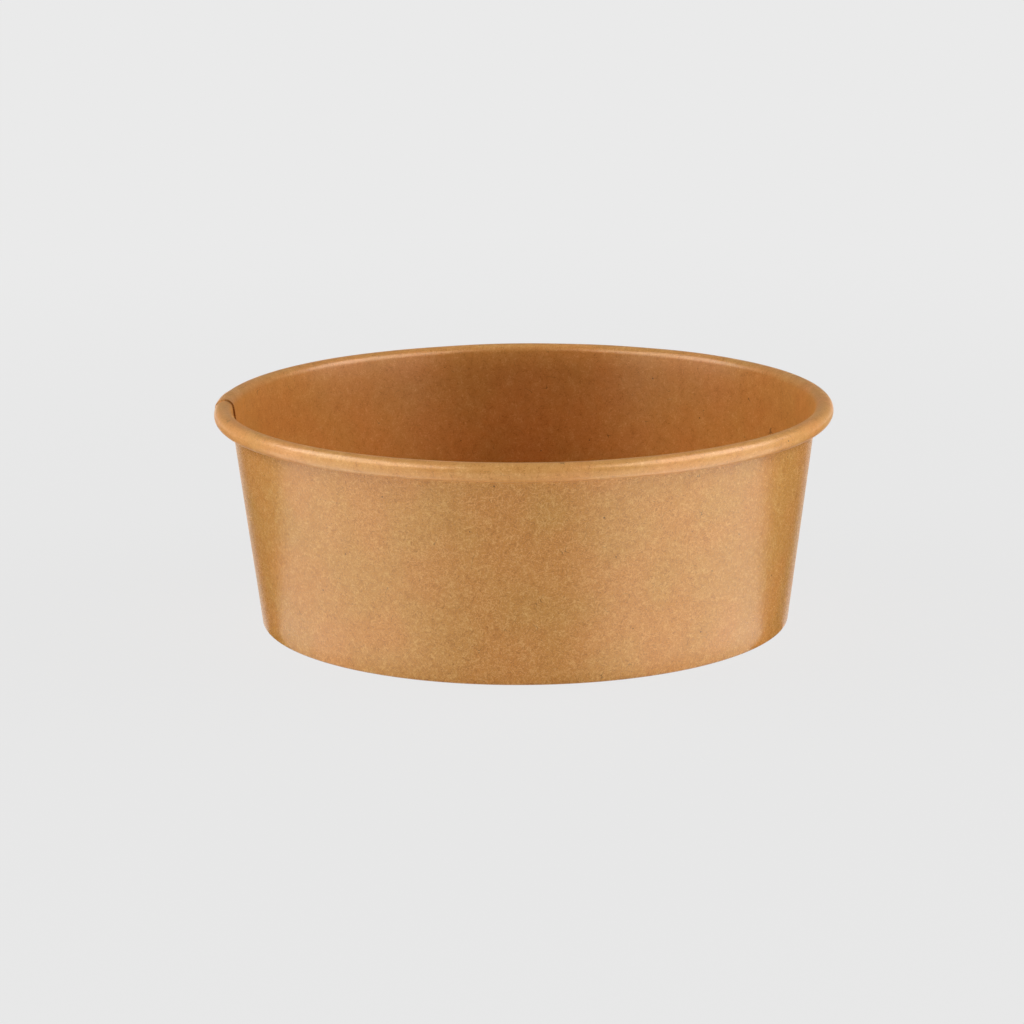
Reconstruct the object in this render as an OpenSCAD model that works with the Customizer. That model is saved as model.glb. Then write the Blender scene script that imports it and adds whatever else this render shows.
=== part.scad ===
// A round salad bowl of kraft board, made of two pieces of board.
// The wall is one fan-shaped blank, wrapped into a taper and lapped where its ends meet.
// Its top edge is rolled outward into the rim and its lower edge is folded in and up as a hem.
// The bottom is a disc whose edge is turned down and held in that hem.
// Sizes are in millimetres. The origin is the middle of the circle that stands on the table,
// +Z is up, and directions round the bowl are degrees from +X towards +Y.

/* [Bowl] */
// Outside diameter over the rolled rim
rim_d = 150; // [136:1:200]
// Outside diameter of the wall where it stands on the table
foot_d = 128.8; // [90:0.1:138]
// Height from the table to the top of the rim
bowl_h = 54; // [30:1:120]

/* [Board] */
// Thickness of the board with its coating, the same in the wall and in the disc
board_t = 0.42; // [0.3:0.01:0.5]
// Melted coating on each side of the disc's skirt, which seals it into the hem
seal_gap = 0.03; // [0.01:0.01:0.1]

/* [Rolled rim] */
// Diameter of the roll, outside to outside
roll_d = 4.5; // [3.8:0.1:7]
// Free space between the tucked end of the roll and the two plies of the lap
tuck_gap = 0.1; // [0.05:0.05:0.3]
// Degrees that the tucked end runs on past the lowest point of the roll
tuck_sweep = 120; // [60:5:150]

/* [Foot] */
// Height of the open space under the disc
recess_h = 7; // [4:0.5:12]
// Outside radius of the bend where the disc turns down into its skirt
disc_bend_r = 0.9; // [0.6:0.1:2]
// Space between the cut edge of the hem and the bend of the disc
hem_gap = 0.1; // [0.05:0.05:1]

/* [Lap seam] */
// Direction of the blank's inner edge, which shows inside the bowl and over the roll
seam_a = 179; // [20:1:330]
// Width of the lap at the rim
lap_w = 8.5; // [4:0.5:14]
// Length at the rim of each of the two steps in which the outer ply climbs over the inner one
climb_w = 2; // [1:0.5:4]

/* [Hidden] */
$fn = 180;

roll_r = roll_d / 2;
foot_r = foot_d / 2;
roll_x = rim_d / 2 - roll_r;
roll_z = bowl_h - roll_r;

// The wall's outer face passes through the foot's edge and touches the inside of the roll,
// which gives its lean from the vertical.
lean = acos((roll_r - board_t) / norm([roll_x - foot_r, roll_z])) - atan2(roll_z, roll_x - foot_r);

// The end of the roll tightens to this radius, so that it clears both plies of the lap.
tuck_r = roll_r - (2 * board_t + tuck_gap) / (1 + sin(lean));
tuck_z = roll_z - roll_r + tuck_r;

// The board folds sharply at the foot: no radius inside, its own thickness outside.
fold_r = board_t;
hem_t = 3 * board_t + 2 * seal_gap;
disc_top = recess_h + board_t;
hem_h = disc_top - disc_bend_r - hem_gap;

// Angles of the lap and of each climbing step, to a tenth of a degree.
lap_a = round_a(lap_w);
climb_a = round_a(climb_w);

// Neighbouring stretches of the wrapped blank run this many degrees into each other, so that they are one.
join_a = 0.2;

// Straight pieces that stand for each bend of the outline.
roll_steps = 36;
tuck_steps = 12;
fold_steps = 6;

function round_a(width) = round(width / (rim_d / 2) * 1800 / PI) / 10;

// A point of the outline at a depth behind the wall's outer face, square to it, and at a height.
function on_wall(depth, z) = [foot_r + z * tan(lean) - depth / cos(lean), z];

// The same depth seen from the other face of the hem.
function across(depth) = hem_t - depth;

function around(centre, r, from, to, steps) = [
    for (i = [0 : steps])
        let (a = from + (to - from) * i / steps)
        centre + r * [cos(a), sin(a)]
];

function after_first(points) = [for (i = [1 : len(points) - 1]) points[i]];

function reversed(points) = [for (i = [len(points) - 1 : -1 : 0]) points[i]];

// The roll and its tucked end, for the face of the board at this depth.
function roll_line(depth) = concat(
    around([roll_x, roll_z], roll_r - board_t + depth, 180 - lean, -90, roll_steps),
    after_first(around([roll_x, tuck_z], tuck_r - board_t + depth, -90, -90 - tuck_sweep, tuck_steps))
);

// The board's outer face, from the hem's cut edge round the foot and up to the end of the roll.
function outer_line(depth) = concat(
    [on_wall(across(depth), hem_h)],
    around(on_wall(across(depth) - fold_r, fold_r), fold_r, 180 - lean, 270, fold_steps),
    around(on_wall(depth + fold_r, fold_r), fold_r, 270, 360 - lean, fold_steps),
    roll_line(depth)
);

// The board's inner face, which holds the disc's skirt in its fold.
function inner_line(depth) = concat(
    [
        on_wall(across(depth), hem_h),
        on_wall(across(depth), board_t),
        on_wall(depth, board_t)
    ],
    roll_line(depth)
);

// A stretch of the wrapped blank between two directions, and between two depths.
module wrapped(from, to, outer, inner)
    rotate_extrude(start = from, angle = to - from, convexity = 12)
        polygon(concat(outer_line(outer), reversed(inner_line(inner))));

// The wrapped blank: the lap, where both of its ends lie, then the two climbing steps, then the rest.
// The outer end is nested outside the wall and inside the roll.
module side_wall()
    color("#BE8A56") {
        wrapped(seam_a - lap_a, seam_a, -board_t, board_t);
        wrapped(seam_a - join_a, seam_a + climb_a, -board_t, 0);
        wrapped(seam_a + climb_a - join_a, seam_a + 2 * climb_a, -board_t / 2, board_t / 2);
        wrapped(seam_a + 2 * climb_a - join_a, seam_a - lap_a + 360 + join_a, 0, board_t);
    }

// The bottom, with its edge turned down into a skirt that stands in the fold of the hem.
module base_disc() {
    skirt_out = board_t + seal_gap;
    bend_at = on_wall(skirt_out + disc_bend_r, disc_top - disc_bend_r);
    color("#A8713F")
        rotate_extrude()
            polygon(concat(
                [[0, disc_top]],
                around(bend_at, disc_bend_r, 90, -lean, fold_steps),
                [
                    on_wall(skirt_out, board_t),
                    on_wall(skirt_out + board_t, board_t)
                ],
                around(bend_at, disc_bend_r - board_t, -lean, 90, fold_steps),
                [[0, recess_h]]
            ));
}

side_wall();
base_disc();
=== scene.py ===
# %% [markdown]
# # A kraft salad bowl
# The bowl is made of two pieces of coated kraft board. A fan-shaped blank is wrapped into the wall, and
# its top is rolled outward into the rim. A round of the same board is the bottom. The solid model is
# loaded first, because every piece of this scene has to sit where the solids are.

import math

import bpy
import numpy as np
from mathutils import Matrix, Vector


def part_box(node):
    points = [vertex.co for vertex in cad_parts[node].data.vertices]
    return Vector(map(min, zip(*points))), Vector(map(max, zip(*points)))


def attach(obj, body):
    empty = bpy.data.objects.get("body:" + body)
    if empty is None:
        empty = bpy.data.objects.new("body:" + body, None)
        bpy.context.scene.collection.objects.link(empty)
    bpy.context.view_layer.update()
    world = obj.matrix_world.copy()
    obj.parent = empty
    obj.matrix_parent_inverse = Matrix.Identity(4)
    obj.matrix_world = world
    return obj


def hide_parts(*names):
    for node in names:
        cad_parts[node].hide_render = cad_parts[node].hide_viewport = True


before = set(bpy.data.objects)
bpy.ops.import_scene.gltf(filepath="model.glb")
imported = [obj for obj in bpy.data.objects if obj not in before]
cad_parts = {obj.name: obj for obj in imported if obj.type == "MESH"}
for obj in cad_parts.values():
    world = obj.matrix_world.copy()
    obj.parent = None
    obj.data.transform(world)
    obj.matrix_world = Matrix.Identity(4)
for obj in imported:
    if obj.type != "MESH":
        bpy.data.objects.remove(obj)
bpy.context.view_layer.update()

# %% [markdown]
# ## Sizes
# These are the sizes of the solid model, in millimetres. Board is thin next to the bowl, so the whole
# shape follows from one line: the middle of the board's thickness, seen in a cut through the wall.

# %% Sizes of the bowl
MM = 0.001
RIM_R = 75.0          # outside of the rolled rim
FOOT_R = 64.4         # outside of the wall on the table
HEIGHT = 54.0
BOARD = 0.42
ROLL_R = 2.25         # outside of the roll
RECESS = 7.0          # height of the open space under the disc
SEAL = 0.03           # melted coating on each side of the disc's skirt
DISC_BEND_R = 0.9     # outside of the bend where the disc turns down
HEM_GAP = 0.1         # between the hem's cut edge and that bend
TUCK_GAP = 0.1        # between the roll's tucked end and the lap
TUCK_SWEEP = 120      # degrees that the tucked end runs on past the roll's lowest point
RIBS, RIB_H = 180.0, 0.14       # pressed ribs on the hem, and their height
WAVINESS = 0.22       # of the wall, from lowest to highest

# %% Sizes of the lap seam
SEAM_A = 179.0        # direction of the blank's inner end, in degrees
LAP_A = 6.5           # how far the blank's two ends lie over each other
CLIMB_A = 2.2         # how far the outer end takes to climb over the inner one
STEP_A, FINE_A = 0.5, 0.125     # columns of the wall's grid stand this far apart, finer on the climb
EVEN_STEPS, FINE_STEPS, LAP_STEPS = 716, 20, 12

# %% [markdown]
# ## The camera
# A photograph is matched by a camera with the same height, distance and lens. The bowl's outline in the
# photograph gave a long lens, looking down at about 13 degrees, with a very small roll to the left.

# %% Place the camera
def turn(axis, angle):
    """A turn of the camera's axes, which run right, down and forward."""
    c, s = math.cos(angle), math.sin(angle)
    rows = {"x": ((1, 0, 0), (0, c, -s), (0, s, c)),
            "y": ((c, 0, s), (0, 1, 0), (-s, 0, c)),
            "z": ((c, -s, 0), (s, c, 0), (0, 0, 1))}[axis]
    return Matrix(rows)


PICTURE_PX, SENSOR_MM = 1024, 36.0


def aim_camera(distance=0.8722, looking_down=0.2290, lens_px=3567.4,
               yaw=0.0035, pitch=0.0015, roll=-0.0079):
    """The camera of the photograph, with its lens given in pixels of the picture's width."""
    c, s = math.cos(looking_down), math.sin(looking_down)
    level = Matrix(((1, 0, 0), (0, -s, -c), (0, c, -s)))
    right, down, forward = turn("z", roll) @ turn("x", pitch) @ turn("y", yaw) @ level
    data = bpy.data.cameras.new("camera")
    data.sensor_width = SENSOR_MM
    data.lens = lens_px / PICTURE_PX * SENSOR_MM
    camera = bpy.data.objects.new("camera", data)
    bpy.context.scene.collection.objects.link(camera)
    camera.matrix_world = Matrix((right, -down, -forward)).transposed().to_4x4()
    camera.location = Vector((0, -distance * c, distance * s + HEIGHT / 2 * MM))
    bpy.context.scene.camera = camera
    return camera


camera = aim_camera()
print("lens mm:", round(camera.data.lens, 1), "camera height mm:", round(camera.location.z * 1000, 1))

# %% [markdown]
# ## The line of the board
# The wall leans out by just over 7 degrees. Its line starts at the cut edge of the hem, goes down and
# round the foot, up the wall, and round the roll to the tucked end. Because it is one line, the wall,
# the rim and the hem come out as one sheet of board, as they are on the real bowl.

# %% Lean of the wall
ROLL_AT = (RIM_R - ROLL_R, HEIGHT - ROLL_R)
lean = (math.acos((ROLL_R - BOARD) / math.hypot(ROLL_AT[0] - FOOT_R, ROLL_AT[1]))
        - math.atan2(ROLL_AT[1], ROLL_AT[0] - FOOT_R))
print("the wall leans out by", round(math.degrees(lean), 3), "degrees")


def on_wall(depth, z):
    """A point at a height, and at a depth square to the wall behind its outer face."""
    return FOOT_R + z * math.tan(lean) - depth / math.cos(lean), z


def bend(centre, radius, start, end, steps):
    """Points round a bend, between two directions in degrees."""
    angles = np.radians(np.linspace(start, end, steps + 1))
    return [(centre[0] + radius * math.cos(a), centre[1] + radius * math.sin(a)) for a in angles]


# %% Line of the wall, the rim and the hem
LEAN = math.degrees(lean)
MIDDLE = BOARD / 2
HEM_T = 3 * BOARD + 2 * SEAL
HEM_TOP = RECESS + BOARD - DISC_BEND_R - HEM_GAP
FOLD_R = 0.7 * BOARD
TUCK_R = ROLL_R - (2 * BOARD + TUCK_GAP) / (1 + math.sin(lean))
TUCK_AT = (ROLL_AT[0], ROLL_AT[1] - ROLL_R + TUCK_R)
HEM_Z = (HEM_TOP, 5.9, 5.3, 3.4, 1.6, 1.0)
WALL_Z = (1.0, 1.8, 3, 4.5, 6.5, 9, 13, 17, 21, 25, 29, 33, 37, 41, 45, 48.5)
FOLD_STEPS, ROLL_STEPS, TUCK_STEPS = 4, 22, 7
FOLD_ROW = len(HEM_Z) + FOLD_STEPS                              # the line's lowest point
ROLL_ROW = len(HEM_Z) + 2 * (FOLD_STEPS + 1) + len(WALL_Z)      # where the roll begins


def wall_line():
    """The middle of the wall's board, from the hem's cut edge to the end of the roll."""
    hem = [on_wall(HEM_T - MIDDLE, z) for z in HEM_Z]
    fold_z = MIDDLE + FOLD_R
    fold = (bend(on_wall(HEM_T - MIDDLE - FOLD_R, fold_z), FOLD_R, 180 - LEAN, 270, FOLD_STEPS)
            + bend(on_wall(MIDDLE + FOLD_R, fold_z), FOLD_R, 270, 360 - LEAN, FOLD_STEPS))
    wall = [on_wall(MIDDLE, z) for z in WALL_Z]
    roll = bend(ROLL_AT, ROLL_R - MIDDLE, 180 - LEAN, -90, ROLL_STEPS)
    tuck = bend(TUCK_AT, TUCK_R - MIDDLE, -90, -90 - TUCK_SWEEP, TUCK_STEPS)[1:]
    return hem + fold + wall + roll + tuck


def length_to(points, row):
    """The length of a line from its first point to the point in this row."""
    return sum(math.dist(a, b) for a, b in zip(points[:row], points[1:row + 1]))


wall_points = wall_line()
wall_length = length_to(wall_points, len(wall_points) - 1)
print("the wall's blank is", round(wall_length, 1), "mm deep, in", len(wall_points), "points")

# %% Line of the disc
DISC_TOP = RECESS + BOARD


def disc_line():
    """The middle of the disc's board, from its centre to the lower edge of its skirt."""
    skirt = BOARD + SEAL + MIDDLE
    bend_at = on_wall(BOARD + SEAL + DISC_BEND_R, DISC_TOP - DISC_BEND_R)
    flat = [(r, DISC_TOP - MIDDLE) for r in (0, 1.5, 4, 8, 14, 22, 30, 38, 46, 53, 58, 61)]
    turned_down = bend(bend_at, DISC_BEND_R - MIDDLE, 90, -LEAN, 6)
    return flat + turned_down + [on_wall(skirt, z) for z in (5, 3.2, 0.92)]


disc_points = disc_line()
print("the disc's line has", len(disc_points), "points")

# %% [markdown]
# ## A tree that wraps a blank
# The same Geometry Nodes tree makes both pieces. A flat grid gets one column of points for each step
# round the bowl and one row for each point of the line. Every point is then moved to its place: round
# the axis by its column, and out and up by its row. The tree also stores where each point lay on the
# flat blank, so that the fibres of the board can be drawn there, as they are when paper is made.

# %% A helper for building trees
class Tree:
    """Adds nodes to a tree and links them; a value that isn't a socket is set on the node."""

    def __init__(self, tree):
        self.tree = tree

    def node(self, kind, inputs=(), **settings):
        node = self.tree.nodes.new(kind)
        for name, value in settings.items():
            setattr(node, name, value)
        for key, value in dict(inputs).items():
            self.feed(node.inputs[key], value)
        return node

    def feed(self, socket, value):
        if isinstance(value, bpy.types.NodeSocket):
            self.tree.links.new(value, socket)
        else:
            socket.default_value = value

    def calc(self, operation, *values):
        node = self.node("ShaderNodeMath", operation=operation)
        for socket, value in zip(node.inputs, values):
            self.feed(socket, value)
        return node.outputs[0]

    def smooth(self, value, start, end):
        node = self.node("ShaderNodeMapRange", interpolation_type="SMOOTHSTEP",
                         inputs={"Value": value, "From Min": start, "From Max": end})
        return node.outputs[0]

    def vector(self, x=0.0, y=0.0, z=0.0):
        return self.node("ShaderNodeCombineXYZ", inputs={0: x, 1: y, 2: z}).outputs[0]


# %% The tree's inputs
WRAP_INPUTS = {
    "Line": "NodeSocketObject", "Columns": "NodeSocketInt", "Rows": "NodeSocketInt",
    "First direction": "NodeSocketFloat", "Sweep": "NodeSocketFloat", "Lap": "NodeSocketFloat",
    "Climb": "NodeSocketFloat", "Board": "NodeSocketFloat", "Foot at": "NodeSocketFloat",
    "Ribs": "NodeSocketFloat", "Rib height": "NodeSocketFloat", "Rib from": "NodeSocketFloat",
    "Rib to": "NodeSocketFloat", "Waviness": "NodeSocketFloat", "Blank radius": "NodeSocketFloat",
    "Blank share": "NodeSocketFloat", "Step": "NodeSocketFloat", "Fine step": "NodeSocketFloat",
    "Fine from": "NodeSocketFloat", "Material": "NodeSocketMaterial",
}


def wrap_tree():
    """An empty tree that takes these values and gives back a mesh."""
    tree = bpy.data.node_groups.new("wrap_blank", "GeometryNodeTree")
    tree.interface.new_socket("Geometry", in_out="OUTPUT", socket_type="NodeSocketGeometry")
    for name, kind in WRAP_INPUTS.items():
        tree.interface.new_socket(name, in_out="INPUT", socket_type=kind)
    return tree


# %% Where each point is on the line
def sample_line(t, given):
    """Row, direction and line sample of every grid point: (direction, along, r, z, out_r, out_z)."""
    index = t.node("GeometryNodeInputIndex").outputs[0]
    rows = {0: index, 1: given["Rows"]}
    column = t.node("FunctionNodeIntegerMath", operation="DIVIDE_FLOOR", inputs=rows)
    row = t.node("FunctionNodeIntegerMath", operation="MODULO", inputs=rows)
    even = t.calc("MULTIPLY", column.outputs[0], given["Step"])
    fine = t.calc("ADD", t.calc("MULTIPLY", column.outputs[0], given["Fine step"]), given["Fine from"])
    to_end = t.calc("SUBTRACT", t.calc("SUBTRACT", given["Columns"], 1.0), column.outputs[0])
    lap = t.calc("SUBTRACT", given["Sweep"], t.calc("MULTIPLY", to_end, given["Step"]))
    turned = t.calc("MAXIMUM", t.calc("MINIMUM", even, fine), lap)
    line = t.node("GeometryNodeObjectInfo", inputs={"Object": given["Line"]}).outputs["Geometry"]

    def at_row(field, kind):
        sample = t.node("GeometryNodeSampleIndex", data_type=kind, domain="POINT",
                        inputs={"Geometry": line, "Value": field, "Index": row.outputs[0]})
        return sample.outputs[0]

    def vector_at_row(kind):
        field = at_row(t.node(kind).outputs[0], "FLOAT_VECTOR")
        return t.node("ShaderNodeSeparateXYZ", inputs={0: field}).outputs

    place = vector_at_row("GeometryNodeInputPosition")
    tangent = vector_at_row("GeometryNodeInputTangent")
    along = at_row(t.node("GeometryNodeSplineParameter").outputs["Length"], "FLOAT")
    out_z = t.calc("MULTIPLY", tangent["X"], -1.0)
    return turned, along, place["X"], place["Z"], tangent["Z"], out_z


# %% How the board leaves its line
OUTER_SHARE, INNER_SHARE = 0.58, 0.45       # parts of the board that the lap's plies move out and in
LIFT_SHARE = 1.03                           # of the board, by which the lap's fold at the foot is lifted
RIB_FADE = 0.0008                           # metres over which a rib sets in and ends


def lap_shift(t, given, turned):
    """(how far the board climbs outward, how far it is lifted at the foot) for the lap's two plies."""
    end = t.calc("SUBTRACT", given["Sweep"], given["Lap"])
    climb = t.smooth(turned, t.calc("SUBTRACT", end, given["Climb"]), end)
    past_lap = t.smooth(turned, given["Lap"], t.calc("ADD", given["Lap"], given["Climb"]))
    has_lap = t.calc("GREATER_THAN", given["Lap"], 0.0)
    inner_from = t.calc("ADD", given["Lap"], t.calc("MULTIPLY", given["Climb"], 2.0))
    inner_ply = t.smooth(turned, inner_from, given["Lap"])
    shared = t.calc("SUBTRACT", t.calc("MULTIPLY", climb, OUTER_SHARE),
                    t.calc("MULTIPLY", inner_ply, INNER_SHARE))
    outward = t.calc("MULTIPLY", t.calc("MULTIPLY", shared, has_lap), given["Board"])
    raised = t.calc("MAXIMUM", climb, t.calc("SUBTRACT", 1.0, past_lap))
    lift = t.calc("MULTIPLY", given["Board"], LIFT_SHARE)
    return outward, t.calc("MULTIPLY", t.calc("MULTIPLY", raised, has_lap), lift)


def pressed_ribs(t, given, turned, along):
    """The height of the ribs that press the hem together."""
    cosine = t.calc("COSINE", t.calc("MULTIPLY", turned, given["Ribs"]))
    wave = t.calc("SUBTRACT", 0.5, t.calc("MULTIPLY", cosine, 0.5))
    starts = t.smooth(along, given["Rib from"], t.calc("ADD", given["Rib from"], RIB_FADE))
    ends = t.smooth(along, given["Rib to"], t.calc("SUBTRACT", given["Rib to"], RIB_FADE))
    return t.calc("MULTIPLY", t.calc("MULTIPLY", wave, given["Rib height"]),
                  t.calc("MULTIPLY", starts, ends))


# %% Build the tree
LIFTED_FULLY, LIFTED_NOWHERE = 0.0006, 0.0052   # metres from the fold, along the board
STIFF_TO, WAVY_FROM = 0.008, 0.022              # heights in metres between which the waves set in
WAVES = {"Scale": 38.0, "Detail": 1.0, "Roughness": 0.4}
MERGE_WITHIN = 2e-6


def build_wrap():
    """The tree: a flat grid, moved to its place round the bowl, with its place on the blank stored."""
    tree = wrap_tree()
    t = Tree(tree)
    given = t.node("NodeGroupInput").outputs
    grid = t.node("GeometryNodeMeshGrid",
                  inputs={"Vertices X": given["Columns"], "Vertices Y": given["Rows"]})
    turned, along, r, z, out_r, out_z = sample_line(t, given)
    outward, lifted = lap_shift(t, given, turned)
    # How far the lap pushes the board out. It is stored below as the mask of the painted shade in the
    # lap's crease.
    creased = t.calc("DIVIDE", outward, given["Board"])
    from_foot = t.calc("ABSOLUTE", t.calc("SUBTRACT", along, given["Foot at"]))
    lifted = t.calc("MULTIPLY", lifted, t.smooth(from_foot, LIFTED_NOWHERE, LIFTED_FULLY))
    outward = t.calc("ADD", outward, pressed_ribs(t, given, turned, along))
    direction = t.calc("SUBTRACT", given["First direction"], turned)
    cos, sin = t.calc("COSINE", direction), t.calc("SINE", direction)
    long_waves = t.vector(t.calc("MULTIPLY", cos, r), t.calc("MULTIPLY", sin, r),
                          t.calc("MULTIPLY", z, 0.3))
    ripple = t.node("ShaderNodeTexNoise", noise_dimensions="3D",
                    inputs={"Vector": long_waves, **WAVES}).outputs[0]
    ripple = t.calc("MULTIPLY", t.calc("SUBTRACT", ripple, 0.5), given["Waviness"])
    outward = t.calc("ADD", outward, t.calc("MULTIPLY", ripple, t.smooth(z, STIFF_TO, WAVY_FROM)))
    r = t.calc("ADD", r, t.calc("MULTIPLY", out_r, outward))
    z = t.calc("ADD", t.calc("ADD", z, t.calc("MULTIPLY", out_z, outward)), lifted)
    place = t.vector(t.calc("MULTIPLY", r, cos), t.calc("MULTIPLY", r, sin), z)
    moved = t.node("GeometryNodeSetPosition", inputs={"Geometry": grid.outputs["Mesh"], "Position": place})
    blank_r = t.calc("ADD", along, given["Blank radius"])
    blank_a = t.calc("MULTIPLY", turned, given["Blank share"])
    flat = t.vector(t.calc("MULTIPLY", blank_r, t.calc("COSINE", blank_a)),
                    t.calc("MULTIPLY", blank_r, t.calc("SINE", blank_a)), along)
    turned_back = t.node("GeometryNodeFlipFaces", inputs={0: moved.outputs[0]})
    kept = t.node("GeometryNodeStoreNamedAttribute", data_type="FLOAT_VECTOR", domain="POINT",
                  inputs={"Geometry": turned_back.outputs[0], "Name": "blank", "Value": flat})
    kept = t.node("GeometryNodeStoreNamedAttribute", data_type="FLOAT", domain="POINT",
                  inputs={"Geometry": kept.outputs[0], "Name": "crease", "Value": creased})
    closed = t.node("GeometryNodeMergeByDistance",
                    inputs={"Geometry": kept.outputs[0], "Distance": MERGE_WITHIN})
    smooth = t.node("GeometryNodeSetShadeSmooth", inputs={"Geometry": closed.outputs[0]})
    real = t.node("GeometryNodeRealizeInstances", inputs={"Geometry": smooth.outputs[0]})
    dressed = t.node("GeometryNodeSetMaterial",
                     inputs={"Geometry": real.outputs[0], "Material": given["Material"]})
    t.node("NodeGroupOutput", inputs={0: dressed.outputs[0]})
    return tree


wrap_blank = build_wrap()
print("the wrapping tree has", len(wrap_blank.nodes), "nodes")

# %% [markdown]
# ## Kraft board
# Kraft paper is unbleached pulp: brown, cloudy from fibres that clump, and full of long fibres that show
# as short lighter and darker strokes. A few specks of bark and dark hairs are left in it. The bowl's
# board has a clear coating on both sides, so it is satin and its colour looks deeper. The strokes are
# noise that is stretched along one direction, in several directions at once, on the flat blank. The
# board over the roll is painted a little lighter than the wall's, as a painted sheen. The cut edges are
# painted dark as painted shade, so the lap's cut edge is a dark line, which fades over the roll. The
# board at the foot of that edge is darkened too, as painted shade in the lap's crease.

# %% Fibres of the board
FIBRE_TURNS = (8, 47, 81, 118, 152)     # degrees
FIBRE_SIZE = (1.15, 0.25)               # length and width of a stroke, in millimetres


def fibre_layer(t, flat, turn_a, length, width, seed):
    """One direction of fibres: -1 for a dark stroke, 0 between strokes and 1 for a light one."""
    turned = t.node("ShaderNodeVectorRotate", rotation_type="Z_AXIS",
                    inputs={"Vector": flat, "Angle": math.radians(turn_a)}).outputs[0]
    scaled = t.node("ShaderNodeVectorMath", operation="MULTIPLY_ADD")
    t.feed(scaled.inputs[0], turned)
    scaled.inputs[1].default_value = (1 / length, 1 / width, 0)
    scaled.inputs[2].default_value = (seed * 7.3, seed * 3.1, seed * 11.7)
    noise = t.node("ShaderNodeTexNoise",
                   inputs={"Vector": scaled.outputs[0], "Scale": 1.0, "Detail": 1.0,
                           "Roughness": 0.4, "Distortion": 0.9}).outputs[0]
    return t.calc("SUBTRACT", t.smooth(noise, 0.61, 0.69), t.smooth(noise, 0.39, 0.31))


def fibres(t, flat, seed):
    """All directions of fibres together."""
    total = 0.0
    for i, turn_a in enumerate(FIBRE_TURNS):
        total = t.calc("ADD", total, fibre_layer(t, flat, turn_a, *FIBRE_SIZE, seed + i))
    return total


# %% Specks and hairs
def specks(t, flat, size):
    """Sparse dark specks of bark: 1 inside a speck."""
    cells = t.node("ShaderNodeTexVoronoi", voronoi_dimensions="2D", feature="F1",
                   inputs={"Vector": flat, "Scale": 1 / size, "Randomness": 1.0})
    rare = t.node("ShaderNodeSeparateColor", inputs={0: cells.outputs["Color"]})
    reach = t.calc("MULTIPLY", t.calc("GREATER_THAN", rare.outputs["Red"], 0.86), rare.outputs["Green"])
    outer, inner = t.calc("MULTIPLY", reach, 0.045), t.calc("MULTIPLY", reach, 0.025)
    return t.smooth(cells.outputs["Distance"], outer, inner)


def hairs(t, flat, seed):
    """A few long dark hairs: a thin level line of a smooth noise, kept in a few places only."""
    moved = t.node("ShaderNodeVectorMath", operation="ADD",
                   inputs={0: flat, 1: (seed * 31.0, seed * 17.0, 0)}).outputs[0]

    def smooth_noise(scale):
        return t.node("ShaderNodeTexNoise", noise_dimensions="2D",
                      inputs={"Vector": moved, "Scale": scale, "Detail": 0.0}).outputs[0]

    line = t.smooth(t.calc("ABSOLUTE", t.calc("SUBTRACT", smooth_noise(0.22), 0.5)), 0.0055, 0.0015)
    place = smooth_noise(0.4)
    return t.calc("MULTIPLY", line, t.smooth(place, 0.66, 0.70))


# %% The finish itself
SPECK_CELL = 6.5                                            # millimetres; a few such cells hold a speck
# The board at the foot of the lap's edge is darkened by this factor: painted shade in the lap's crease.
CREASE_SHADE = (0.60, 0.50, 0.42)                                 # darkening at the foot of the lap's edge
REDDER, GREENER = (1.02, 0.98, 0.98), (0.985, 1.02, 1.01)   # slow drift of the paper's hue
MARK_SHARE = 0.8                                            # how much a speck or a hair covers


def blend_tones(t, share, before, after, mode="MIX"):
    """A colour between two others; each may be a colour or a socket."""
    node = t.node("ShaderNodeMix", data_type="RGBA", blend_type=mode, inputs={0: share})
    for socket, value in ((node.inputs[6], before), (node.inputs[7], after)):
        t.feed(socket, value if isinstance(value, bpy.types.NodeSocket) else (*value, 1))
    return node.outputs[2]


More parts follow.
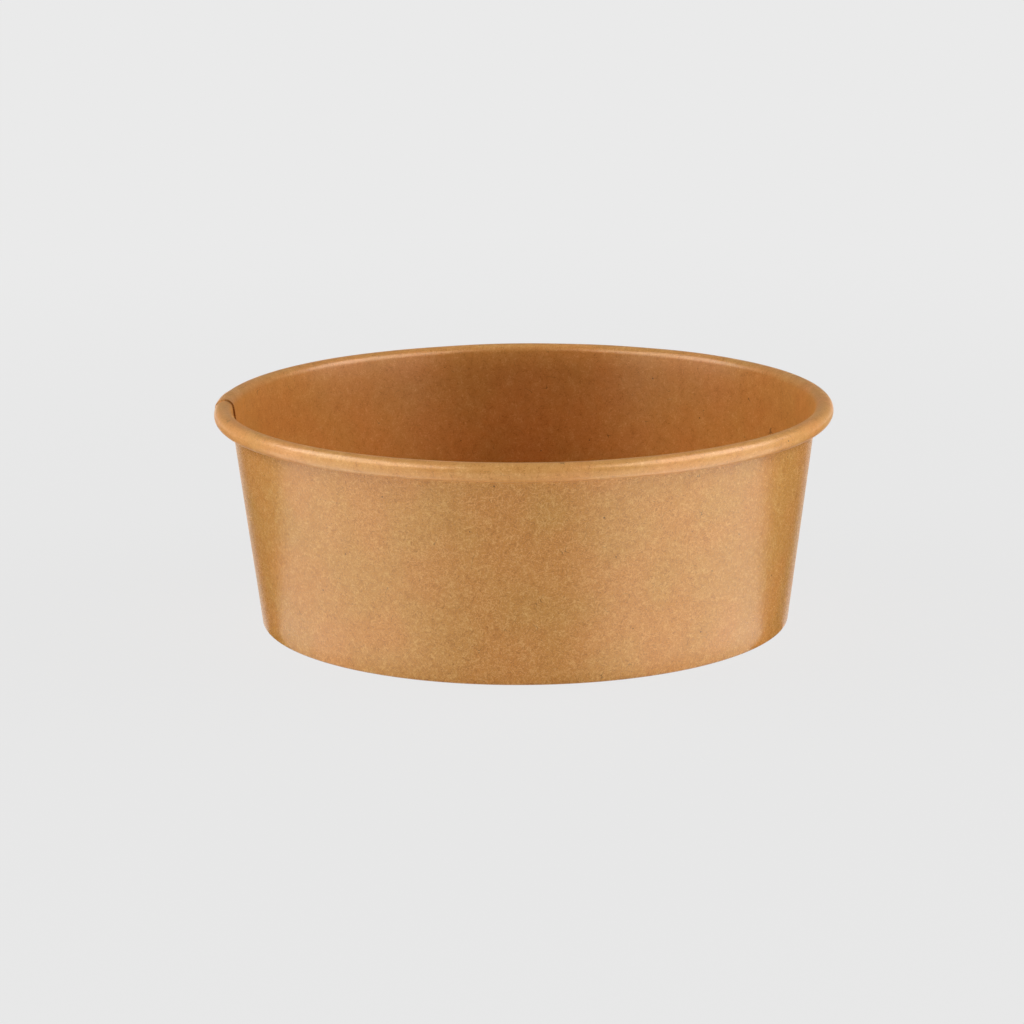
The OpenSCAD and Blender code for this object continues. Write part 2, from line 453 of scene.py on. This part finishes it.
def kraft(name, tones, gloss=0.27, seed=0, cloudy=1.3, streaky=0.55, rolled=None, creases=False):
    """Coated kraft board. tones are its dark, middle and light colours. cloudy and streaky say how much
    its clouds and its fibres show. rolled is a factor that paints light on its colour over the roll, with
    the stretch of the blank in which it sets in, and creases paints shade into the board at the foot of
    the lap's edge."""
    material = bpy.data.materials.new(name)
    material.use_nodes = True
    t = Tree(material.node_tree)
    shader = material.node_tree.nodes["Principled BSDF"]
    blank = t.node("ShaderNodeAttribute", attribute_name="blank").outputs["Vector"]
    flat = t.node("ShaderNodeVectorMath", operation="MULTIPLY",
                  inputs={0: blank, 1: (1000, 1000, 0)}).outputs[0]
    dark, middle, light = tones
    stain = tuple(v * 0.22 for v in dark)
    strokes = fibres(t, flat, seed)
    clouds = t.node("ShaderNodeTexNoise",
                    inputs={"Vector": flat, "Scale": 0.30, "Detail": 5.0, "Roughness": 0.60}).outputs[0]
    tone = t.calc("ADD", t.calc("MULTIPLY", t.calc("SUBTRACT", clouds, 0.5), cloudy),
                  t.calc("MULTIPLY", strokes, streaky))
    toned = blend_tones(t, t.smooth(tone, 0.0, 1.0), middle, light)
    toned = blend_tones(t, t.smooth(tone, 0.0, -1.0), toned, dark)
    hue = t.node("ShaderNodeTexNoise",
                 inputs={"Vector": flat, "Scale": 0.06, "Detail": 1.0, "Roughness": 0.5}).outputs[0]
    drift = blend_tones(t, t.smooth(hue, 0.35, 0.65), REDDER, GREENER)
    toned = blend_tones(t, 1.0, toned, drift, mode="MULTIPLY")
    # Over the roll the colour is multiplied by a factor: painted light, which makes the roll's board paler
    # as a painted sheen and fades the cut edge's painted shade.
    if rolled:
        factor, start, end = rolled
        along = t.node("ShaderNodeSeparateXYZ", inputs={0: blank}).outputs["Z"]
        toned = blend_tones(t, t.smooth(along, start, end), toned, factor, mode="MULTIPLY")
    # creases paints shade into the lap's crease, where the outer ply climbs over the inner one.
    if creases:
        crease = t.node("ShaderNodeAttribute", attribute_name="crease").outputs["Fac"]
        toned = blend_tones(t, t.smooth(crease, 0.40, 0.58), toned, CREASE_SHADE, mode="MULTIPLY")
    marks = t.calc("MAXIMUM", specks(t, flat, SPECK_CELL),
                   t.calc("MULTIPLY", hairs(t, flat, seed + 1), 0.8))
    marked = blend_tones(t, t.calc("MULTIPLY", marks, MARK_SHARE), toned, stain)
    t.feed(shader.inputs["Base Color"], marked)
    shader.inputs["Specular IOR Level"].default_value = 0.5
    rougher = t.calc("MULTIPLY", t.calc("ABSOLUTE", strokes), 0.02)
    t.feed(shader.inputs["Roughness"], t.calc("ADD", gloss, rougher))
    height = t.calc("ADD", t.calc("MULTIPLY", strokes, 0.06), t.calc("MULTIPLY", clouds, 1.2))
    bump = t.node("ShaderNodeBump", inputs={"Strength": 1.0, "Distance": 0.00003, "Height": height})
    t.feed(shader.inputs["Normal"], bump.outputs[0])
    return material


# %% Finishes of the bowl
OUTSIDE = ((0.405, 0.154, 0.026), (0.600, 0.280, 0.071), (0.720, 0.414, 0.145))
# The food side's tones are a little darker and redder than the outside's: painted shade inside the bowl.
INSIDE = ((0.400, 0.140, 0.024), (0.580, 0.248, 0.056), (0.710, 0.370, 0.120))
# The cut edges keep kraft's own colour but are painted darker: painted shade, so that the lap's edge is a
# dark line.
SHADED_CUT = ((0.230, 0.090, 0.025), (0.330, 0.140, 0.042), (0.420, 0.200, 0.070))
ROLL_FROM = length_to(wall_points, ROLL_ROW) * MM
# The board over the roll is painted paler than the wall's: a painted sheen.
PAINTED_ROLL_SHEEN = ((1.24, 1.36, 1.75), ROLL_FROM, ROLL_FROM + 2 * MM)
# Over the roll the cut edge is painted much lighter, so that its painted shade fades there.
EDGE_SHADE_FADE = ((2.00, 2.60, 3.20), ROLL_FROM + 1.5 * MM, ROLL_FROM + 3.5 * MM)
wall_outside = kraft("kraft_outside", OUTSIDE)
wall_inside = kraft("kraft_inside", INSIDE, gloss=0.30, seed=5, cloudy=1.6, streaky=0.32,
                    rolled=PAINTED_ROLL_SHEEN, creases=True)
cut_edge = kraft("kraft_cut_edge", SHADED_CUT, gloss=0.6, seed=9, rolled=EDGE_SHADE_FADE)
print("finishes:", wall_outside.name, wall_inside.name, cut_edge.name)

# %% [markdown]
# ## The wall, with its rim and hem
# The line goes into the tree as a curve object, and the blank runs once round the bowl and a little
# further, so that its two ends lap. Solidify then gives the board its thickness, half to each side of
# the line, with its own finish for the food side and for the cut edges.

# %% Helpers for the pieces
def line_object(name, points):
    """A curve through the points, in the plane that is cut through the bowl."""
    data = bpy.data.curves.new(name, "CURVE")
    data.dimensions = "3D"
    spline = data.splines.new("POLY")
    spline.points.add(len(points) - 1)
    for place, (r, z) in zip(spline.points, points):
        place.co = (r * MM, 0, z * MM, 1)
    line = bpy.data.objects.new(name, data)
    bpy.context.scene.collection.objects.link(line)
    return line


def settle(piece, line, sheet_faces, finishes):
    """Turns the piece's modifiers into a plain mesh. Its faces come as one side, the other side, and the
    cut edges, so each finish is given to one stretch of them."""
    depsgraph = bpy.context.evaluated_depsgraph_get()
    ready = piece.evaluated_get(depsgraph)
    mesh = bpy.data.meshes.new_from_object(ready, preserve_all_data_layers=True, depsgraph=depsgraph)
    mesh.materials.clear()
    for finish in finishes:
        mesh.materials.append(finish)
    order = np.arange(len(mesh.polygons)) // sheet_faces
    mesh.polygons.foreach_set("material_index", np.minimum(order, 2).astype(np.int32))
    piece.modifiers.clear()
    piece.data = mesh
    mesh.set_sharp_from_angle(angle=math.radians(50))
    bpy.data.objects.remove(line)
    triangles = sum(len(face.vertices) - 2 for face in mesh.polygons)
    print(piece.name, "has", len(mesh.vertices), "points and", triangles, "triangles")
    return piece


def wrapped_board(name, points, finishes, **sizes):
    """A piece of board, wrapped along its line by the tree and given its thickness."""
    line = line_object(name + "_line", points)
    mesh = bpy.data.meshes.new(name)
    for finish in finishes:
        mesh.materials.append(finish)
    piece = bpy.data.objects.new(name, mesh)
    bpy.context.scene.collection.objects.link(piece)
    wrap = piece.modifiers.new("wrap", "NODES")
    wrap.node_group = wrap_blank
    socket = {item.name: item.identifier for item in wrap_blank.interface.items_tree
              if item.in_out == "INPUT"}
    given = {"Line": line, "Rows": len(points), "Material": finishes[0], "Board": BOARD * MM, **sizes}
    for key, value in given.items():
        wrap[socket[key]] = value
    sheet_faces = len(piece.evaluated_get(bpy.context.evaluated_depsgraph_get()).data.polygons)
    thick = piece.modifiers.new("thickness", "SOLIDIFY")
    thick.thickness = BOARD * MM
    thick.offset = 0.0
    thick.use_even_offset = True
    return settle(piece, line, sheet_faces, finishes)


# %% Make the wall
foot_at = length_to(wall_points, FOLD_ROW) * MM
fine_from = EVEN_STEPS * STEP_A - EVEN_STEPS * FINE_A
finishes = (wall_outside, wall_inside, cut_edge)
wall = wrapped_board(
    "bowl_wall", wall_points, finishes,
    **{"Columns": 1 + EVEN_STEPS + FINE_STEPS + LAP_STEPS,
       "First direction": math.radians(SEAM_A), "Sweep": math.radians(360 + LAP_A),
       "Step": math.radians(STEP_A), "Fine step": math.radians(FINE_A),
       "Fine from": math.radians(fine_from), "Lap": math.radians(LAP_A), "Climb": math.radians(CLIMB_A),
       "Foot at": foot_at, "Ribs": RIBS, "Rib height": RIB_H * MM, "Rib from": 0.2 * MM,
       "Rib to": 5.6 * MM, "Waviness": WAVINESS * MM,
       "Blank radius": FOOT_R / math.sin(lean) * MM - foot_at, "Blank share": math.sin(lean)})

# %% [markdown]
# ## The disc
# The bottom is a round of board whose edge is turned down into a skirt. The skirt stands in the fold of
# the hem, which holds the disc 7 mm above the table. The same tree turns its line once round, and its
# points that fall together at the centre and at the end of the turn are merged.

# %% Make the disc
disc = wrapped_board(
    "bowl_bottom", disc_points, finishes,
    **{"Columns": 361, "First direction": 0.0, "Sweep": 2 * math.pi, "Lap": 0.0, "Climb": 0.1,
       "Step": math.radians(1), "Fine step": math.radians(1), "Fine from": 0.0,
       "Foot at": 1.0, "Ribs": 0.0, "Rib height": 0.0, "Rib from": 1.0, "Rib to": 2.0, "Waviness": 0.0,
       "Blank radius": 0.0, "Blank share": 1.0})

# %% [markdown]
# ## Join the pieces to the solid model
# Each piece stands for its solid, which is then hidden, and rides on the one body that the bowl has.

# %% Stand for the solids
for piece, node, slot in ((wall, "side_wall", "kraft_wall"), (disc, "base_disc", "kraft_disc")):
    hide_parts(node)
    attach(piece, "root")
    low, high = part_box(node)
    print(piece.name, "stands for", node, [round(v * 1000, 1) for v in (*low, *high)])

# %% [markdown]
# ## The table
# The photograph has an even, nearly white background. The table is a pale matt sheet. Most of its
# brightness is given to it where the camera, a reflection or a clear thing sees it, so that it stays
# even to the far edge, and the rest is ordinary shading, which keeps the bowl's soft shadow.

# %% Make the table
TABLE_GREY = 0.83                       # of the matt sheet itself
SEEN_NEAR, SEEN_MORE = 0.94, 0.06       # share of the even glow near the bowl, and what far adds
GLOW_NEAR, GLOW_MORE = 0.812, 0.011     # strength of that glow near the bowl, and what far adds
REACH = 9000                            # millimetres from the bowl to each edge


def table_finish():
    """A matt sheet that looks evenly lit and still takes the bowl's shadow."""
    material = bpy.data.materials.new("pale_table")
    material.use_nodes = True
    t = Tree(material.node_tree)
    nodes = material.node_tree.nodes
    nodes.remove(nodes["Principled BSDF"])
    path = t.node("ShaderNodeLightPath").outputs
    seen = t.calc("MAXIMUM", path["Is Camera Ray"],
                  t.calc("MAXIMUM", path["Is Glossy Ray"], path["Is Transmission Ray"]))
    place = t.node("ShaderNodeTexCoord").outputs["Object"]
    away = t.node("ShaderNodeVectorMath", operation="LENGTH", inputs={0: place}).outputs["Value"]
    far = t.smooth(away, 0.10, 0.60)
    share = t.calc("ADD", SEEN_NEAR, t.calc("MULTIPLY", far, SEEN_MORE))
    glow = t.calc("ADD", GLOW_NEAR, t.calc("MULTIPLY", far, GLOW_MORE))
    matt = t.node("ShaderNodeBsdfDiffuse", inputs={"Color": (TABLE_GREY, TABLE_GREY, TABLE_GREY, 1)})
    even = t.node("ShaderNodeEmission", inputs={"Color": (1, 1, 1, 1), "Strength": glow})
    mixed = t.node("ShaderNodeMixShader", inputs={0: t.calc("MULTIPLY", seen, share),
                                                  1: matt.outputs[0], 2: even.outputs[0]})
    t.feed(nodes["Material Output"].inputs["Surface"], mixed.outputs[0])
    return material


def flat_sheet(name, corners, height, material):
    """A flat sheet on the table, from corners in millimetres."""
    mesh = bpy.data.meshes.new(name)
    points = [(x * MM, y * MM, height * MM) for x, y in corners]
    mesh.from_pydata(points, [], [list(range(len(corners)))])
    mesh.materials.append(material)
    sheet = bpy.data.objects.new(name, mesh)
    bpy.context.scene.collection.objects.link(sheet)
    return sheet


def rectangle(x, y):
    """Corners of a rectangle that reaches this far each way."""
    return (-x, -y), (x, -y), (x, y), (-x, y)


table = flat_sheet("table", rectangle(REACH, REACH), 0.0, table_finish())
print("the table reaches", REACH / 1000, "m each way")

# %% [markdown]
# ## Light
# Two large softboxes stand left and right, about 30 degrees up. Two low lamps in front light the wall
# that faces the camera without reaching down into the bowl, and a dim even room fills the rest.
# Coated board is satin, so what stands or lies beside it shows in its gloss. White panels give the long
# highlight on the rolled rim. A photographer lays a white card on each side for a long soft highlight in
# the wall, and a dark card behind it so that the highlight ends in a clean edge. The lamps light the
# board's colour and don't show in its gloss, and the panels and cards show in its gloss and light
# nothing. So the wall's brightness and the shape of its highlights can be set one by one.

# %% The room and the lamps
SIDES = (("right", 1), ("left", -1))
AIM = (0, 0, 0.04)      # what lamps and panels face, in metres: inside the bowl, below its rim
LAMPS = (("softbox", (0.735, 0.026, 0.465), 0.7, 0.35, {"right": 4.5, "left": 4.35}),
         ("front_fill", (0.53, -0.60, 0.06), 0.4, 0.08, {"right": 1.35, "left": 1.3}))

world = bpy.data.worlds.new("room")
world.use_nodes = True
world.node_tree.nodes["Background"].inputs["Color"].default_value = (1, 1, 1, 1)
world.node_tree.nodes["Background"].inputs["Strength"].default_value = 0.14
bpy.context.scene.world = world


def facing_bowl(place):
    """The turn that makes something at this place face the bowl."""
    return (Vector(AIM) - Vector(place)).to_track_quat("-Z", "Y").to_euler()


def area_lamp(name, place, width, height, watts):
    """A lamp that lights matt surfaces and isn't seen by the camera or in a gloss."""
    data = bpy.data.lights.new(name, "AREA")
    data.shape = "RECTANGLE"
    data.size, data.size_y, data.energy = width, height, watts
    lamp = bpy.data.objects.new(name, data)
    bpy.context.scene.collection.objects.link(lamp)
    lamp.location = place
    lamp.rotation_euler = facing_bowl(place)
    lamp.visible_camera = lamp.visible_glossy = False
    return lamp


for kind, (x, y, z), width, height, watts in LAMPS:
    for side, sign in SIDES:
        lamp = area_lamp(f"{kind}_{side}", (sign * x, y, z), width, height, watts[side])
        print(lamp.name, lamp.data.energy, "W")

# %% Finish of the cards and panels
CARD_WHITE = (1, 0.99, 0.92, 1)
FADE_IN = (0.056, 0.074)        # metres from its origin, which is the bowl's axis for a card
FADE_BEYOND = (0.16, 0.24)      # where the level that it has far out sets in
BAND_BEND = (0.65, 0.0445)      # how its bands bend backward as they leave the bowl


def card_finish(name, steps, beyond=0.0):
    """A card whose brightness changes with the direction round the bowl. steps are pairs of degrees
    from the front and a level, and beyond is the level far from the bowl."""
    material = bpy.data.materials.new(name)
    material.use_nodes = True
    nodes = material.node_tree.nodes
    nodes.remove(nodes["Principled BSDF"])
    t = Tree(material.node_tree)
    spot = t.node("ShaderNodeTexCoord").outputs["Object"]
    place = t.node("ShaderNodeSeparateXYZ", inputs={0: spot}).outputs
    turned = t.calc("ARCTAN2", t.calc("ABSOLUTE", place["X"]), t.calc("MULTIPLY", place["Y"], -1.0))
    away = t.node("ShaderNodeVectorMath", operation="LENGTH",
                  inputs={0: t.vector(place["X"], place["Y"])}).outputs["Value"]
    bend_back = t.calc("ADD", BAND_BEND[0], t.calc("DIVIDE", BAND_BEND[1], away))
    turned = t.calc("MULTIPLY", turned, bend_back)
    level = steps[0][1]
    for (start, before), (end, after) in zip(steps, steps[1:]):
        rise = t.smooth(turned, math.radians(start), math.radians(end))
        level = t.calc("ADD", level, t.calc("MULTIPLY", rise, after - before))
    level = t.calc("MULTIPLY", level, t.smooth(away, *FADE_IN))
    level = t.calc("MAXIMUM", level, t.calc("MULTIPLY", t.smooth(away, *FADE_BEYOND), beyond))
    glow = t.node("ShaderNodeEmission", inputs={"Color": CARD_WHITE, "Strength": level})
    t.feed(nodes["Material Output"].inputs["Surface"], glow.outputs[0])
    material.cycles.emission_sampling = "NONE"
    return material


def card(name, corners, height, material):
    """A sheet that only the gloss of the board sees."""
    sheet = flat_sheet(name, corners, height, material)
    sheet.visible_camera = sheet.visible_diffuse = False
    sheet.visible_shadow = sheet.visible_transmission = False
    return sheet


def panel(name, place, width, height, level):
    """What the gloss sees of a lamp: a sheet that faces the bowl, of one level."""
    finish = card_finish(name, ((0, level), (180, level)))
    sheet = card(name, rectangle(width / 2, height / 2), 0.0, finish)
    sheet.location = place
    sheet.rotation_euler = facing_bowl(place)
    return sheet


# %% The panels beside the bowl
for side, sign in SIDES:
    panel("panel_" + side, (sign * 0.62, -0.17, 0.66), 1000, 520, 6.8)
    panel("low_panel_" + side, (sign * 0.75, -0.27, 0.20), 900, 380, 2.4)
print("panels stand", [name for name, _ in SIDES], "of the bowl")

# %% The cards on the table
FRONT_EDGE = ((420, 16), (420, -420), (0, -420), (0, -65))
WHITE = {"right": ((54, -36), (62, -28), (85, -16), (122, -3), (160, 6), *FRONT_EDGE),
         "left": ((56, -32), (64, -22), (85, -8), (121, 3), (158, 10), *FRONT_EDGE)}
DARK = ((50, -40), (66, -10), (285, 495), (700, 480), (700, 0))
LEVELS = {"right": ((8, 0.5), (34, 2.8), (60, 2.8), (96, 1.5), (112, 0.6)),
          "left": ((8, 0.5), (46, 2.2), (62, 2.2), (92, 1.2), (112, 0.55))}
dark_card = card_finish("dark_card", ((0, 0.03), (180, 0.03)))
for side, sign in SIDES:
    white_card = card_finish("white_card_" + side, LEVELS[side], beyond=1.6)
    card("white_card_" + side, [(sign * x, y) for x, y in WHITE[side]], 0.3, white_card)
    card("dark_card_" + side, [(sign * x, y) for x, y in DARK], 0.2, dark_card)
print("cards lie", [name for name, _ in SIDES], "of the bowl")

# %% [markdown]
# ## Finish
# The picture is shown as it is lit, with the Standard view.

# %% Finish
bpy.context.scene.view_settings.view_transform = "Standard"
